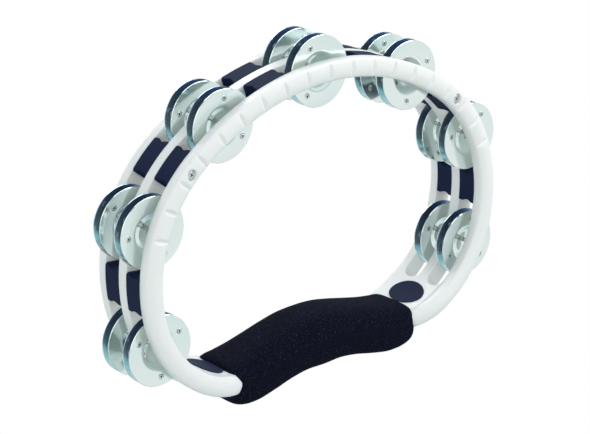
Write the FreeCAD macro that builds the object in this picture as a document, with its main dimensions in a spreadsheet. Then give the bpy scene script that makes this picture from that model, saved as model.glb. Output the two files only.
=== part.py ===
"""Hand-held D-shaped tambourine with two rows of jingles and a padded grip.

Frame of the model: millimetres, +Z up, X across the D, Y along the axis of the ring.
The origin is under the middle of the grip, on the plane that the grip stands on.
The grooved face of the ring looks towards -Y.
"""
import FreeCAD, Part
import math
import os
import Sketcher

from FreeCAD import Placement, Rotation, Vector

DRIVING = (
    # outline of the ring: three tangent arcs from the top centre down each side
    ("top_radius", 159.0, "outer radius of the top arc"),
    ("side_radius", 92.0, "outer radius of the side arc"),
    ("lower_radius", 74.6, "outer radius of the lower arc"),
    ("top_sweep_angle", 38.0, "degrees from the top centre to the end of the top arc"),
    ("side_sweep_angle", 107.0, "degrees from the top centre to the end of the side arc"),
    ("limb_end_angle", 172.8, "degrees from the top centre to the limbs' ends, at the grip"),
    ("wall", 11.6, "thickness of the rails across the ring"),
    ("foot_drop", 12.0, "height of the limbs above the underside of the grip"),
    # layers along the axis, from front to rear
    ("front_rail", 7.5, "depth of the front ring"),
    ("middle_rail", 7.4, "depth of the rail between the two rows"),
    ("rear_rail", 7.5, "depth of the rear rail"),
    ("slot_width", 12.4, "width of each row's slot"),
    ("slot_past_pin", 31.2, "distance from the lowest pin to the middle of the slot's round end"),
    ("limb_round", 3.5, "rounding of a limb's lower corner"),
    ("taper_length", 26.0, "length over which a limb grows thinner towards the grip"),
    ("taper_drop", 3.6, "how much it loses at the front and at the rear"),
    ("rail_round", 0.6, "rounding of the rails' edges along the slots"),
    ("edge_round", 2.4, "rounding of the rear rail's outer edges"),
    ("crown_rise", 1.7, "height of the crown on the front ring's face"),
    # grooves and screws in the front face
    ("groove_pitch", 16.5, "distance between grooves along the middle of the rail"),
    ("groove_depth", 1.0, "depth of a groove at the crown"),
    ("groove_width", 3.8, "width of a groove at the crown"),
    ("screw_diameter", 3.0, "shank of the screws"),
    ("screw_length", 40.0, "length of a screw under its head"),
    ("screw_head", 5.6, "diameter of a screw head"),
    ("screw_head_height", 1.9, "height of a screw head"),
    ("head_chamfer", 0.7, "chamfer of a screw head's rim"),
    ("screw_tip", 1.5, "length of a screw's pointed end"),
    ("head_play", 0.5, "gap between a screw head and its counterbore"),
    ("counterbore_depth", 3.6, "depth of the counterbores in the front face"),
    # jingles and their pins
    ("window_pitch", 72.4, "distance between pins along the middle of the rail"),
    ("jingle_diameter", 42.0, "outer diameter of a jingle"),
    ("jingle_gauge", 0.6, "sheet thickness of a jingle"),
    ("jingle_depth", 2.5, "depth of a jingle, from its rim to the back of its cup"),
    ("cup_diameter", 21.0, "diameter of the cup at the flange"),
    ("cup_floor", 13.0, "diameter of the cup's flat floor"),
    ("cup_depth", 1.4, "height of the cup's wall"),
    ("jingle_hole", 5.4, "hole in the middle of a jingle"),
    ("pair_gap", 0.2, "gap between the two cups of a pair at rest"),
    ("hang_gap", 0.1, "gap between a pin and the top of the hole that hangs on it"),
    ("pin_diameter", 2.4, "diameter of a jingle pin"),
    ("pin_seat", 4.0, "depth of the pins' seats in the front ring and in the rear rail"),
    ("pin_end_gap", 0.1, "gap between a pin's end and the bottom of its seat"),
    ("pin_chamfer", 0.4, "chamfer of a pin's ends"),
    # spacer blocks between the windows
    ("spacer_length", 22.0, "length of a spacer along the rail"),
    ("scoop_radius", 5.6, "radius of the scoop in a spacer's ends"),
    ("scoop_depth", 2.0, "depth of that scoop"),
    ("spacer_round", 1.6, "rounding of a spacer's corners"),
    # grip
    ("core_depth", 26.0, "depth of the bar inside the grip, along the ring's axis"),
    ("core_height", 12.0, "thickness of that bar"),
    ("core_rise", 8.0, "rise of the bar's arch at its middle"),
    ("core_drop", 2.5, "drop of the bar's middle line below the limbs' at their ends"),
    ("sleeve_depth", 40.0, "depth of the sleeve along the ring's axis"),
    ("sleeve_corner", 11.0, "rounding of the sleeve's section"),
    ("sleeve_overlap", 5.8, "how far the sleeve reaches past the limbs' ends"),
    ("arch_share", 0.345, "share of the sleeve's reach where the arch's flank lies"),
    ("foot_share", 0.70, "share of the reach where the sleeve stands"),
    ("shoulder_share", 0.85, "share of the reach where its ends start to round"),
    ("turn_share", 0.955, "share of the reach at the middle of that rounding"),
    ("middle_low", 6.7, "underside of the sleeve at its middle"),
    ("middle_high", 40.6, "top of the sleeve at its middle"),
    ("flank_low", 5.5, "underside at the flank of the arch"),
    ("flank_high", 37.4, "top at the flank of the arch"),
    ("foot_low", -0.3, "underside where it stands, before the foot is trimmed flat"),
    ("foot_high", 30.6, "top where it stands"),
    ("shoulder_low", 1.3, "underside where the ends start to round"),
    ("shoulder_high", 28.6, "top where the ends start to round"),
    ("turn_low", 6.2, "underside at the middle of the rounding"),
    ("turn_high", 24.6, "top at the middle of the rounding"),
    ("tip_low", 11.9, "underside at the sleeve's very end"),
    ("tip_high", 20.8, "top at the sleeve's very end"),
    ("shoulder_inset", 1.0, "how far the sleeve's depth has drawn in at each side there"),
    ("turn_inset", 4.0, "the same at the middle of the rounding"),
    ("tip_inset", 9.6, "the same at the very end"),
    ("foam_gap", 0.3, "gap between the foam and the moulding"),
    # oval plates on the inside of the limbs
    ("plate_width", 25.0, "size of an oval plate along the ring's axis"),
    ("plate_length", 19.5, "size of an oval plate along the limb"),
    ("plate_clear", 4.6, "distance along the limb from its end to a plate"),
    ("plate_gauge", 0.6, "thickness of an oval plate"),
    ("bore_play", 0.03, "radial play of pins and screws in their bores"),
)

# how far a cutting shape reaches past what it cuts
OVERCUT = 3.0

document = FreeCAD.newDocument("tambourine")
sheet = document.addObject("Spreadsheet::Sheet", "Sizes")
for row, (alias, value, meaning) in enumerate(DRIVING, start=1):
    sheet.set("A%d" % row, alias)
    sheet.set("B%d" % row, str(value))
    sheet.set("C%d" % row, meaning)
    sheet.setAlias("B%d" % row, alias)
document.recompute()


# Sizes that follow from the driving ones, as formulas in the same sheet.
DERIVED = (
    ("lower_start", "(top_sweep_angle * (top_radius - wall / 2) + (side_sweep_angle"
                    " - top_sweep_angle) * (side_radius - wall / 2)) * pi / 180"),
    ("slot_end_angle", "side_sweep_angle + (3 * window_pitch + slot_past_pin - lower_start)"
                       " / (lower_radius - wall / 2) * 180 / pi"),
    ("limb_end_x", "(top_radius - side_radius) * sin(top_sweep_angle) + (side_radius"
                   " - lower_radius) * sin(side_sweep_angle) + (lower_radius - wall / 2)"
                   " * sin(limb_end_angle)"),
    ("sleeve_reach", "limb_end_x + sleeve_overlap"),
    ("arch_at", "arch_share * sleeve_reach"),
    ("foot_at", "foot_share * sleeve_reach"),
    ("shoulder_at", "shoulder_share * sleeve_reach"),
    ("turn_at", "turn_share * sleeve_reach"),
    ("limb_clear_angle", "limb_end_angle + foam_gap / (lower_radius - wall) * 180 / pi"),
    ("plate_angle", "limb_end_angle - (plate_length / 2 + plate_clear)"
                    " / (lower_radius - wall) * 180 / pi"),
)
for row, (alias, formula) in enumerate(DERIVED, start=len(DRIVING) + 2):
    sheet.set("A%d" % row, alias)
    sheet.set("B%d" % row, "=" + formula)
    sheet.setAlias("B%d" % row, alias)
    document.recompute()


def size(alias):
    """Value of one driving dimension, as the sheet holds it."""
    return float(sheet.get(alias))


def bind(item, prop, formula):
    """Tie a property to a formula; words in braces are cells of the sheet."""
    item.setExpression(prop, formula.replace("{", "Sizes.").replace("}", ""))


# ---------------------------------------------------------------- the outline
def turn(angle):
    """Outward direction at an angle, in degrees, from the top centre."""
    return Vector(math.sin(math.radians(angle)), 0, math.cos(math.radians(angle)))


RADII = (size("top_radius"), size("side_radius"), size("lower_radius"))
ENDS = (size("top_sweep_angle"), size("side_sweep_angle"), 180.0)
HALF_WALL = size("wall") / 2
RING_DEPTH = (size("front_rail") + size("middle_rail") + size("rear_rail")
              + 2 * size("slot_width"))
REAR = RING_DEPTH / 2
SEAM = size("front_rail") - RING_DEPTH / 2
ROWS = {
    "front": SEAM + size("slot_width") / 2,
    "rear": REAR - size("rear_rail") - size("slot_width") / 2,
}
LOWER_Z = size("foot_drop") + RADII[2]
STEPS = ((RADII[0] - RADII[1], ENDS[0]), (RADII[1] - RADII[2], ENDS[1]))
CENTRE_3 = Vector(sum(gap * turn(a).x for gap, a in STEPS), 0, LOWER_Z)
CENTRE_2 = CENTRE_3 - turn(ENDS[1]) * STEPS[1][0]
CENTRE_1 = CENTRE_2 - turn(ENDS[0]) * STEPS[0][0]
CENTRES = (CENTRE_1, CENTRE_2, CENTRE_3)
TOP_Z = CENTRE_1.z + RADII[0]


def outline_point(angle, inset):
    """Point of the right half's outline at an angle, moved inwards by inset."""
    arc = sum(1 for end in ENDS[:2] if angle > end)
    return CENTRES[arc] + turn(angle) * (RADII[arc] - inset)


def angle_at(distance):
    """Angle reached after a distance along the middle of the rail."""
    start = 0.0
    for radius, end in zip(RADII, ENDS):
        span = math.radians(end - start) * (radius - HALF_WALL)
        if distance <= span or end == 180.0:
            return start + math.degrees(distance / (radius - HALF_WALL))
        distance -= span
        start = end


def rail_place(distance):
    """Point and outward angle on the middle of the rail; left of centre is negative."""
    angle = angle_at(abs(distance))
    point = outline_point(angle, HALF_WALL)
    if distance < 0:
        return Vector(-point.x, 0, point.z), -angle
    return point, angle


# ------------------------------------------------------------- sketch helpers
def origin_plane(body, role):
    """The body's own origin plane with this role."""
    return next(f for f in body.Origin.OriginFeatures if f.Role == role)


def new_body(label):
    """Empty body whose label names its node."""
    body = document.addObject("PartDesign::Body", label)
    body.Label = label
    return body


def new_sketch(body, name, role, level=None):
    """Sketch on an origin plane, moved along the plane's normal by a formula."""
    sketch = body.newObject("Sketcher::SketchObject", name)
    sketch.AttachmentSupport = [(origin_plane(body, role), "")]
    sketch.MapMode = "FlatFace"
    if level:
        bind(sketch, "AttachmentOffset.Base.z", level)
    return sketch


def constrain(sketch, kind, *places, formula=None):
    """Add a constraint and, with a formula, tie its value to the sheet."""
    index = sketch.addConstraint(Sketcher.Constraint(kind, *places))
    if formula:
        bind(sketch, "Constraints[%d]" % index, formula)
    return index


def arc(centre, radius, first, last):
    """Arc in sketch coordinates between two outward angles from the top."""
    circle = Part.Circle(Vector(centre.x, centre.z, 0), Vector(0, 0, 1), radius)
    return Part.ArcOfCircle(circle, math.radians(90 - last), math.radians(90 - first))


INSET_X = (
    "({top_radius} - %s) * sin({top_sweep_angle})",
    "({top_radius} - {side_radius}) * sin({top_sweep_angle})"
    " + ({side_radius} - %s) * sin({side_sweep_angle})",
)
TOP_HEIGHT = ("{foot_drop} + {lower_radius} - ({side_radius} - {lower_radius}) * cos({side_sweep_angle})"
              " - ({top_radius} - {side_radius}) * cos({top_sweep_angle}) + {top_radius}")


def arc_chain(sketch, inset, formula, last_angle, last_x):
    """Right half of the outline, inset by a value and its formula; returns arc numbers.

    The arcs run from the top centre, where arc 0 starts on the vertical axis, to last_angle.
    """
    starts = (0.0,) + ENDS[:2]
    stops = ENDS[:2] + (last_angle,)
    numbers = []
    for centre, radius, first, last in zip(CENTRES, RADII, starts, stops):
        numbers.append(sketch.addGeometry(arc(centre, radius - inset, first, last)))
    names = ("top_radius", "side_radius", "lower_radius")
    for number, name in zip(numbers, names):
        constrain(sketch, "Radius", number, RADII[names.index(name)] - inset,
                  formula="{%s} - %s" % (name, formula))
    constrain(sketch, "PointOnObject", numbers[0], 3, -2)
    constrain(sketch, "PointOnObject", numbers[0], 2, -2)
    top = CENTRE_1.z + RADII[0] - inset
    constrain(sketch, "DistanceY", -1, 1, numbers[0], 2, top,
              formula="%s - %s" % (TOP_HEIGHT, formula))
    for upper, lower, angle, place in zip(numbers, numbers[1:], ENDS, INSET_X):
        constrain(sketch, "Tangent", upper, 1, lower, 2)
        constrain(sketch, "DistanceX", -1, 1, upper, 1, outline_point(angle, inset).x,
                  formula=place % formula)
    constrain(sketch, "DistanceX", -1, 1, numbers[2], 1, outline_point(last_angle, inset).x,
              formula=last_x % formula)
    return numbers


def end_place(alias):
    """Formula for the x of the inset outline's end at a driving angle."""
    return ("({top_radius} - {side_radius}) * sin({top_sweep_angle})"
            " + ({side_radius} - {lower_radius}) * sin({side_sweep_angle})"
            " + ({lower_radius} - %s) * sin({" + alias + "})")


def half_band(body, name, level, outer, inner, end_alias):
    """Closed right half of a band between two insets, each a value and its formula."""
    sketch = new_sketch(body, name, "XZ_Plane", level)
    last = size(end_alias)
    outside = arc_chain(sketch, outer[0], outer[1], last, end_place(end_alias))
    inside = arc_chain(sketch, inner[0], inner[1], last, end_place(end_alias))
    corners = [(outside[2], 1), (inside[2], 1), (inside[0], 2), (outside[0], 2)]
    for (first, first_end), (second, second_end) in (corners[:2], corners[2:]):
        start = sketch.getPoint(first, first_end)
        stop = sketch.getPoint(second, second_end)
        line = sketch.addGeometry(Part.LineSegment(start, stop))
        constrain(sketch, "Coincident", line, 1, first, first_end)
        constrain(sketch, "Coincident", line, 2, second, second_end)
    return sketch


def pad(body, name, sketch, length, towards_rear=False, midplane=False):
    """Pad of a sketch; XZ sketches grow towards the front unless towards_rear."""
    feature = body.newObject("PartDesign::Pad", name)
    feature.Profile = sketch
    bind(feature, "Length", length)
    feature.Reversed = towards_rear
    feature.Midplane = midplane
    return feature


def pocket(body, name, sketch, length, towards_rear=True):
    """Pocket of a sketch; it must take material away."""
    before = body.Tip.Shape.Volume
    feature = body.newObject("PartDesign::Pocket", name)
    feature.Profile = sketch
    bind(feature, "Length", length)
    feature.Reversed = not towards_rear
    document.recompute()
    if feature.Shape.Volume > before - 1:
        raise RuntimeError(name + " cuts nothing")
    return feature


def polygon(sketch, corners):
    """Closed polygon whose corners are (x, formula, y, formula), all tied to the sheet."""
    points = [Vector(x, y, 0) for x, _, y, _ in corners]
    lines = []
    for start, stop in zip(points, points[1:] + points[:1]):
        lines.append(sketch.addGeometry(Part.LineSegment(start, stop)))
    for line, following in zip(lines, lines[1:] + lines[:1]):
        constrain(sketch, "Coincident", line, 2, following, 1)
    for line, (x, x_formula, y, y_formula) in zip(lines, corners):
        constrain(sketch, "DistanceX", -1, 1, line, 1, x, formula=x_formula)
        constrain(sketch, "DistanceY", -1, 1, line, 1, y, formula=y_formula)
    return lines


def revolve(body, name, sketch, angle=None):
    """Revolution about the sketch's vertical axis: a full turn, or an angle either side."""
    feature = body.newObject("PartDesign::Revolution", name)
    feature.Profile = sketch
    feature.ReferenceAxis = (sketch, ["V_Axis"])
    feature.Angle = 360
    if angle:
        feature.Midplane = True
        bind(feature, "Angle", angle)
    return feature


def circles(body, name, level, places, diameter, formula):
    """Sketch of equal circles round places in the plane of the ring."""
    sketch = new_sketch(body, name, "XZ_Plane", level)
    for place in places:
        circle = Part.Circle(Vector(place.x, place.z, 0), Vector(0, 0, 1), diameter / 2)
        number = sketch.addGeometry(circle)
        constrain(sketch, "Diameter", number, diameter, formula=formula)
    return sketch


def cylinder_cut(body, name, middle, axis, radius, length):
    """Cylindrical cut centred on a point, with its radius and length as formulas."""
    feature = body.newObject("PartDesign::SubtractiveCylinder", name)
    bind(feature, "Radius", radius)
    bind(feature, "Height", length)
    document.recompute()
    turned = Rotation(Vector(0, 0, 1), axis)
    feature.Placement = Placement(middle - axis * (feature.Height.Value / 2), turned)
    document.recompute()
    return feature


def mirror_halves(body, name, features, mode="Whole shape"):
    """Repeat the right half, or only these features of it, on the left."""
    feature = body.newObject("PartDesign::Mirrored", name)
    feature.Originals = features
    feature.TransformMode = mode
    feature.MirrorPlane = (origin_plane(body, "YZ_Plane"), [""])
    body.Tip = feature
    document.recompute()
    return feature


def round_edges(body, name, radius, chosen):
    """Fillet of the edges of the body's tip that the test picks."""
    base = body.Tip
    names = ["Edge%d" % number for number, edge in enumerate(base.Shape.Edges, start=1)
             if chosen(edge)]
    if not names:
        raise RuntimeError(name + " finds no edge")
    feature = body.newObject("PartDesign::Fillet", name)
    feature.Base = (base, names)
    bind(feature, "Radius", radius)
    document.recompute()
    return feature


def limb_corner(edge):
    """Whether an edge is the lower corner of the right limb's end."""
    corner = outline_point(size("limb_end_angle"), 0)
    box = edge.BoundBox
    near = abs(box.XMin - corner.x) + abs(box.XMax - corner.x)
    return near + abs(box.ZMin - corner.z) + abs(box.ZMax - corner.z) < 1e-3


def lies_at(edge, axis, value):
    """Whether an edge lies in the plane where the axis has this value."""
    box = edge.BoundBox
    low = getattr(box, axis + "Min")
    high = getattr(box, axis + "Max")
    return abs(low - value) < 1e-4 and abs(high - value) < 1e-4


# --------------------------------------------------------------- the moulding
DEPTH_OF_RING = "({front_rail} + {middle_rail} + {rear_rail} + 2 * {slot_width})"
AT_REAR = "-" + DEPTH_OF_RING + " / 2"
AT_FRONT = DEPTH_OF_RING + " / 2"
AT_SEAM = AT_FRONT + " - {front_rail}"
AT_REAR_SLOT = AT_REAR + " + {rear_rail} + {slot_width}"
WALL = (size("wall"), "{wall}")
PIN_BORE = size("pin_diameter") + 2 * size("bore_play")
SCREW_BORE = size("screw_diameter") + 2 * size("bore_play")
PIN_PLACES = [rail_place(step * size("window_pitch"))[0] for step in range(-3, 4)]
SCREW_PLACES = [rail_place(side * 1.5 * size("window_pitch"))[0] for side in (-1, 1)]
CORE_REACH = outline_point(size("limb_end_angle"), HALF_WALL).x + OVERCUT
CORE_LOW = outline_point(size("limb_end_angle"), HALF_WALL).z - size("core_drop")


def core_profile(body, name, grow, level=None):
    """Arched bar between the limbs, grown all round by a clearance."""
    rise = size("core_rise")
    radius = (CORE_REACH ** 2 + rise ** 2) / (2 * rise)
    centre = Vector(0, 0, CORE_LOW + rise - radius)
    half = size("core_height") / 2 + grow
    reach = math.degrees(math.asin((CORE_REACH + grow) / radius))
    sketch = new_sketch(body, name, "XZ_Plane", level)
    upper = sketch.addGeometry(arc(centre, radius + half, -reach, reach))
    lower = sketch.addGeometry(arc(centre, radius - half, -reach, reach))
    constrain(sketch, "Coincident", upper, 3, lower, 3)
    for end in (1, 2):
        start = sketch.getPoint(upper, end)
        stop = sketch.getPoint(lower, end)
        line = sketch.addGeometry(Part.LineSegment(start, stop))
        constrain(sketch, "Coincident", line, 1, upper, end)
        constrain(sketch, "Coincident", line, 2, lower, end)
    return sketch


def slot_end(body, row):
    """Rounded lower end of a row's slot in the right limb."""
    angle = size("slot_end_angle")
    middle = outline_point(angle, HALF_WALL) + Vector(0, ROWS[row], 0)
    return cylinder_cut(body, row + "_slot_end", middle, turn(angle),
                        "{slot_width} / 2", "{wall} + %g" % (2 * OVERCUT))


def taper(body, name, side):
    """Thin the right limb towards the grip, at the rear (side 1) or the front (side -1)."""
    sketch = new_sketch(body, name + "_profile", "XY_Plane")
    length = size("taper_length")
    radius = (length ** 2 + size("taper_drop") ** 2) / (2 * size("taper_drop"))
    start = size("limb_end_x") + length
    stop = size("limb_end_x") - OVERCUT
    middle = side * math.pi / 2
    swing = side * math.asin((start - stop) / radius)
    span = sorted((middle, middle + swing))
    circle = Part.Circle(Vector(start, side * (REAR - radius), 0), Vector(0, 0, 1), radius)
    curve = sketch.addGeometry(Part.ArcOfCircle(circle, *span))
    near, far = (1, 2) if side > 0 else (2, 1)
    outside = side * (REAR + OVERCUT)
    corners = [sketch.getPoint(curve, near), Vector(start, outside, 0),
               Vector(stop, outside, 0), sketch.getPoint(curve, far)]
    lines = [sketch.addGeometry(Part.LineSegment(*ends)) for ends in zip(corners, corners[1:])]
    constrain(sketch, "Coincident", curve, near, lines[0], 1)
    constrain(sketch, "Coincident", lines[0], 2, lines[1], 1)
    constrain(sketch, "Coincident", lines[1], 2, lines[2], 1)
    constrain(sketch, "Coincident", lines[2], 2, curve, far)
    constrain(sketch, "Vertical", lines[0])
    constrain(sketch, "Horizontal", lines[1])
    constrain(sketch, "Vertical", lines[2])
    constrain(sketch, "DistanceX", curve, 3, curve, near, 0)
    bend = "({taper_length} ^ 2 + {taper_drop} ^ 2) / (2 * {taper_drop})"
    constrain(sketch, "Radius", curve, radius, formula=bend)
    constrain(sketch, "DistanceX", -1, 1, curve, 3, start,
              formula="{limb_end_x} + {taper_length}")
    constrain(sketch, "DistanceX", -1, 1, lines[2], 1, stop,
              formula="{limb_end_x} - %g" % OVERCUT)
    constrain(sketch, "DistanceY", -1, 1, curve, 3, side * (REAR - radius),
              formula="%d * (%s / 2 - %s)" % (side, DEPTH_OF_RING, bend))
    constrain(sketch, "DistanceY", -1, 1, lines[1], 1, outside,
              formula="%d * (%s / 2 + %g)" % (side, DEPTH_OF_RING, OVERCUT))
    return pocket(body, name, sketch, "{foot_drop} + {lower_radius} / 2", towards_rear=False)


def build_frame_body():
    """Rear and middle rails, both limbs and the bar inside the grip, in one moulding."""
    body = new_body("frame_body")
    half_slot = size("slot_width") / 2
    profile = half_band(body, "body_profile", AT_REAR, (0.0, "0"), WALL, "limb_end_angle")
    half = pad(body, "body_half", profile, DEPTH_OF_RING + " - {front_rail}")
    document.recompute()
    round_edges(body, "body_limb_corner", "{limb_round}", limb_corner)
    taper(body, "rear_taper", 1)
    over = (-OVERCUT, "-%g" % OVERCUT)
    under = (size("wall") + OVERCUT, "({wall} + %g)" % OVERCUT)
    for row, level in (("rear", AT_REAR_SLOT), ("front", AT_SEAM)):
        outline = half_band(body, row + "_slot_profile", level, over, under, "slot_end_angle")
        pocket(body, row + "_slot", outline, "{slot_width}")
        slot_end(body, row)
    mirror_halves(body, "body_halves", [half])
    pad(body, "grip_core", core_profile(body, "core_profile", 0.0), "{core_depth}", midplane=True)
    document.recompute()
    bores = circles(body, "pin_bores", AT_SEAM, PIN_PLACES, PIN_BORE,
                    "{pin_diameter} + 2 * {bore_play}")
    pocket(body, "pin_bore_cut", bores, "{middle_rail} + 2 * {slot_width} + {pin_seat}")
    holes = circles(body, "screw_bores", AT_SEAM, SCREW_PLACES, SCREW_BORE,
                    "{screw_diameter} + 2 * {bore_play}")
    pocket(body, "screw_bore_cut", holes, "{screw_length} + {counterbore_depth} - {front_rail}")
    round_edges(body, "rear_edges", "{edge_round}", lambda e: lies_at(e, "Y", REAR))
    sides = [ROWS["front"] + half_slot, ROWS["rear"] - half_slot, ROWS["rear"] + half_slot]
    round_edges(body, "slot_edges", "{rail_round}",
                lambda e: e.Length > 8 and any(lies_at(e, "Y", side) for side in sides))
    return body


def ring_section(body):
    """Section of the front ring at the top centre, with its crowned face."""
    sketch = new_sketch(body, "ring_section", "YZ_Plane")
    front = -REAR
    low = TOP_Z - size("wall")
    rise = size("crown_rise")
    seam_low = Vector(SEAM, low, 0)
    seam_high = Vector(SEAM, TOP_Z, 0)
    edge_high = Vector(front + rise, TOP_Z, 0)
    edge_low = Vector(front + rise, low, 0)
    crown = Vector(front, TOP_Z - HALF_WALL, 0)
    lines = [(seam_low, seam_high), (seam_high, edge_high), (edge_low, seam_low)]
    numbers = [sketch.addGeometry(Part.LineSegment(*ends)) for ends in lines]
    face = sketch.addGeometry(Part.Arc(edge_high, crown, edge_low))
    constrain(sketch, "Coincident", numbers[0], 2, numbers[1], 1)
    constrain(sketch, "Coincident", numbers[2], 2, numbers[0], 1)
    arc_ends = (1, 2) if sketch.getPoint(face, 1).distanceToPoint(edge_high) < 1e-6 else (2, 1)
    constrain(sketch, "Coincident", numbers[1], 2, face, arc_ends[0])
    constrain(sketch, "Coincident", numbers[2], 1, face, arc_ends[1])
    constrain(sketch, "Vertical", numbers[0])
    constrain(sketch, "Horizontal", numbers[1])
    constrain(sketch, "Horizontal", numbers[2])
    constrain(sketch, "DistanceY", numbers[0], 1, numbers[0], 2, size("wall"), formula="{wall}")
    constrain(sketch, "DistanceY", -1, 1, numbers[0], 2, TOP_Z, formula=TOP_HEIGHT)
    constrain(sketch, "DistanceX", -1, 1, numbers[0], 1, SEAM,
              formula="{front_rail} - " + DEPTH_OF_RING + " / 2")
    return sketch


def groove(body, number, distance):
    """V groove across the crowned face, at a distance from the top centre."""
    middle, angle = rail_place(distance)
    lead = size("crown_rise")
    depth = size("groove_depth")
    half = size("groove_width") / 2 * (lead + depth) / depth
    feature = body.newObject("PartDesign::SubtractiveWedge", "groove_%d" % number)
    feature.Xmin, feature.Xmax, feature.X2min, feature.X2max = -half, half, 0, 0
    feature.Ymin, feature.Ymax = -lead, depth
    feature.Zmin = feature.Z2min = -size("wall")
    feature.Zmax = feature.Z2max = size("wall")
    feature.Placement = Placement(middle + Vector(0, -REAR, 0), Rotation(Vector(0, 1, 0), angle))
    return feature


def build_front_ring():
    """Front rail: a crowned ring with grooves, screw counterbores and pin seats."""
    body = new_body("front_ring")
    path = new_sketch(body, "ring_path", "XZ_Plane")
    arc_chain(path, HALF_WALL, "{wall} / 2", size("limb_end_angle"), end_place("limb_end_angle"))
    section = ring_section(body)
    document.recompute()
    sweep = body.newObject("PartDesign::AdditivePipe", "ring_half")
    sweep.Profile = section
    sweep.Spine = (path, ["Edge1", "Edge2", "Edge3"])
    document.recompute()
    round_edges(body, "ring_limb_corner", "{limb_round}", limb_corner)
    taper(body, "front_taper", -1)
    mirror_halves(body, "ring_halves", [sweep])
    seats = circles(body, "pin_seats", AT_SEAM, PIN_PLACES, PIN_BORE,
                    "{pin_diameter} + 2 * {bore_play}")
    pocket(body, "pin_seat_cut", seats, "{pin_seat}", towards_rear=False)
    through = circles(body, "screw_holes", AT_SEAM, SCREW_PLACES, SCREW_BORE,
                      "{screw_diameter} + 2 * {bore_play}")
    pocket(body, "screw_hole_cut", through, "{front_rail}", towards_rear=False)
    heads = circles(body, "counterbores", AT_FRONT, SCREW_PLACES,
                    size("screw_head") + 2 * size("head_play"), "{screw_head} + 2 * {head_play}")
    pocket(body, "counterbore_cut", heads, "{counterbore_depth}")
    for number, step in enumerate(range(-9, 10), start=1):
        groove(body, number, step * size("groove_pitch"))
    document.recompute()
    return body


# ------------------------------------------------------------ the small parts
def arc_centre(distance):
    """Centre and radius of the outline's arc that a distance falls on."""
    number = sum(1 for end in ENDS[:2] if angle_at(abs(distance)) > end)
    centre = CENTRES[number]
    mirrored = Vector(-centre.x, 0, centre.z) if distance < 0 else centre
    return mirrored, ("top_radius", "side_radius", "lower_radius")[number]


def rectangle(sketch, low, high):
    """Rectangle between two corners (x, formula, y, formula)."""
    corners = [low, (high[0], high[1], low[2], low[3]), high, (low[0], low[1], high[2], high[3])]
    return polygon(sketch, corners)


def build_spacer(label, row, distance, bored):
    """Block that fills a slot between two windows, with a scooped end at each."""
    centre, alias = arc_centre(distance)
    radius = size(alias)
    body = new_body(label)
    sketch = new_sketch(body, label + "_section", "XY_Plane")
    half = size("slot_width") / 2
    rectangle(sketch,
              (radius - size("wall"), "{%s} - {wall}" % alias, -half, "-{slot_width} / 2"),
              (radius, "{%s}" % alias, half, "{slot_width} / 2"))
    revolve(body, label + "_block", sketch,
            "{spacer_length} / ({%s} - {wall} / 2) * 180 deg / pi" % alias)
    document.recompute()
    round_edges(body, label + "_corners", "{spacer_round}",
                lambda e: abs(e.BoundBox.YLength - 2 * half) < 1e-3)
    middle = radius - HALF_WALL
    end = math.degrees(size("spacer_length") / 2 / middle)
    away = size("scoop_radius") - size("scoop_depth")
    for number, side in enumerate((-1, 1)):
        outward = turn(90 + side * end)
        along = turn(90 + side * (end + 90))
        place = outward * middle + along * away
        cylinder_cut(body, "%s_scoop_%d" % (label, number), place, outward,
                     "{scoop_radius}", "{wall} + %g" % (2 * OVERCUT))
    if bored:
        cylinder_cut(body, label + "_bore", Vector(middle, 0, 0), Vector(0, 1, 0),
                     "{screw_diameter} / 2 + {bore_play}",
                     "{slot_width} + %g" % (2 * OVERCUT))
    angle = rail_place(distance)[1]
    body.Placement = Placement(centre + Vector(0, ROWS[row], 0),
                               Rotation(Vector(0, 1, 0), angle - 90))
    return body


def build_jingle(label, row, side, distance):
    """Pressed dish with a central cup, its cup towards its mate, hung on a pin."""
    body = new_body(label)
    sketch = new_sketch(body, label + "_section", "XY_Plane")
    gauge = size("jingle_gauge")
    start = size("pair_gap") / 2
    diameters = ("jingle_hole", "cup_floor", "cup_diameter", "jingle_diameter")
    heights = ((0.0, ""), (0.0, ""), (size("cup_depth"), " + {cup_depth}"),
               (size("jingle_depth"), " + {jingle_depth}"))
    near = []
    far = []
    for alias, (rise, formula) in zip(diameters, heights):
        radius = size(alias) / 2
        near.append((radius, "{%s} / 2" % alias, start + rise, "{pair_gap} / 2" + formula))
        far.append((radius, "{%s} / 2" % alias, start + rise + gauge,
                    "{pair_gap} / 2 + {jingle_gauge}" + formula))
    polygon(sketch, near + far[::-1])
    revolve(body, label + "_dish", sketch)
    drop = (size("jingle_hole") - size("pin_diameter")) / 2 - size("hang_gap")
    middle = rail_place(distance)[0] + Vector(0, ROWS[row], -drop)
    half_turn = 0 if side == "rear" else 180
    body.Placement = Placement(middle, Rotation(Vector(1, 0, 0), half_turn))
    return body


def build_pin(label, place):
    """Straight steel pin through both rows, seated in the two outer rails."""
    body = new_body(label)
    rod = body.newObject("PartDesign::AdditiveCylinder", label + "_rod")
    bind(rod, "Radius", "{pin_diameter} / 2")
    bind(rod, "Height",
         "2 * ({pin_seat} - {pin_end_gap}) + {middle_rail} + 2 * {slot_width}")
    document.recompute()
    chamfer = body.newObject("PartDesign::Chamfer", label + "_ends")
    chamfer.Base = (rod, ["Edge1", "Edge3"])
    bind(chamfer, "Size", "{pin_chamfer}")
    front = SEAM - size("pin_seat") + size("pin_end_gap")
    body.Placement = Placement(place + Vector(0, front, 0), Rotation(Vector(1, 0, 0), -90))
    return body


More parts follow.
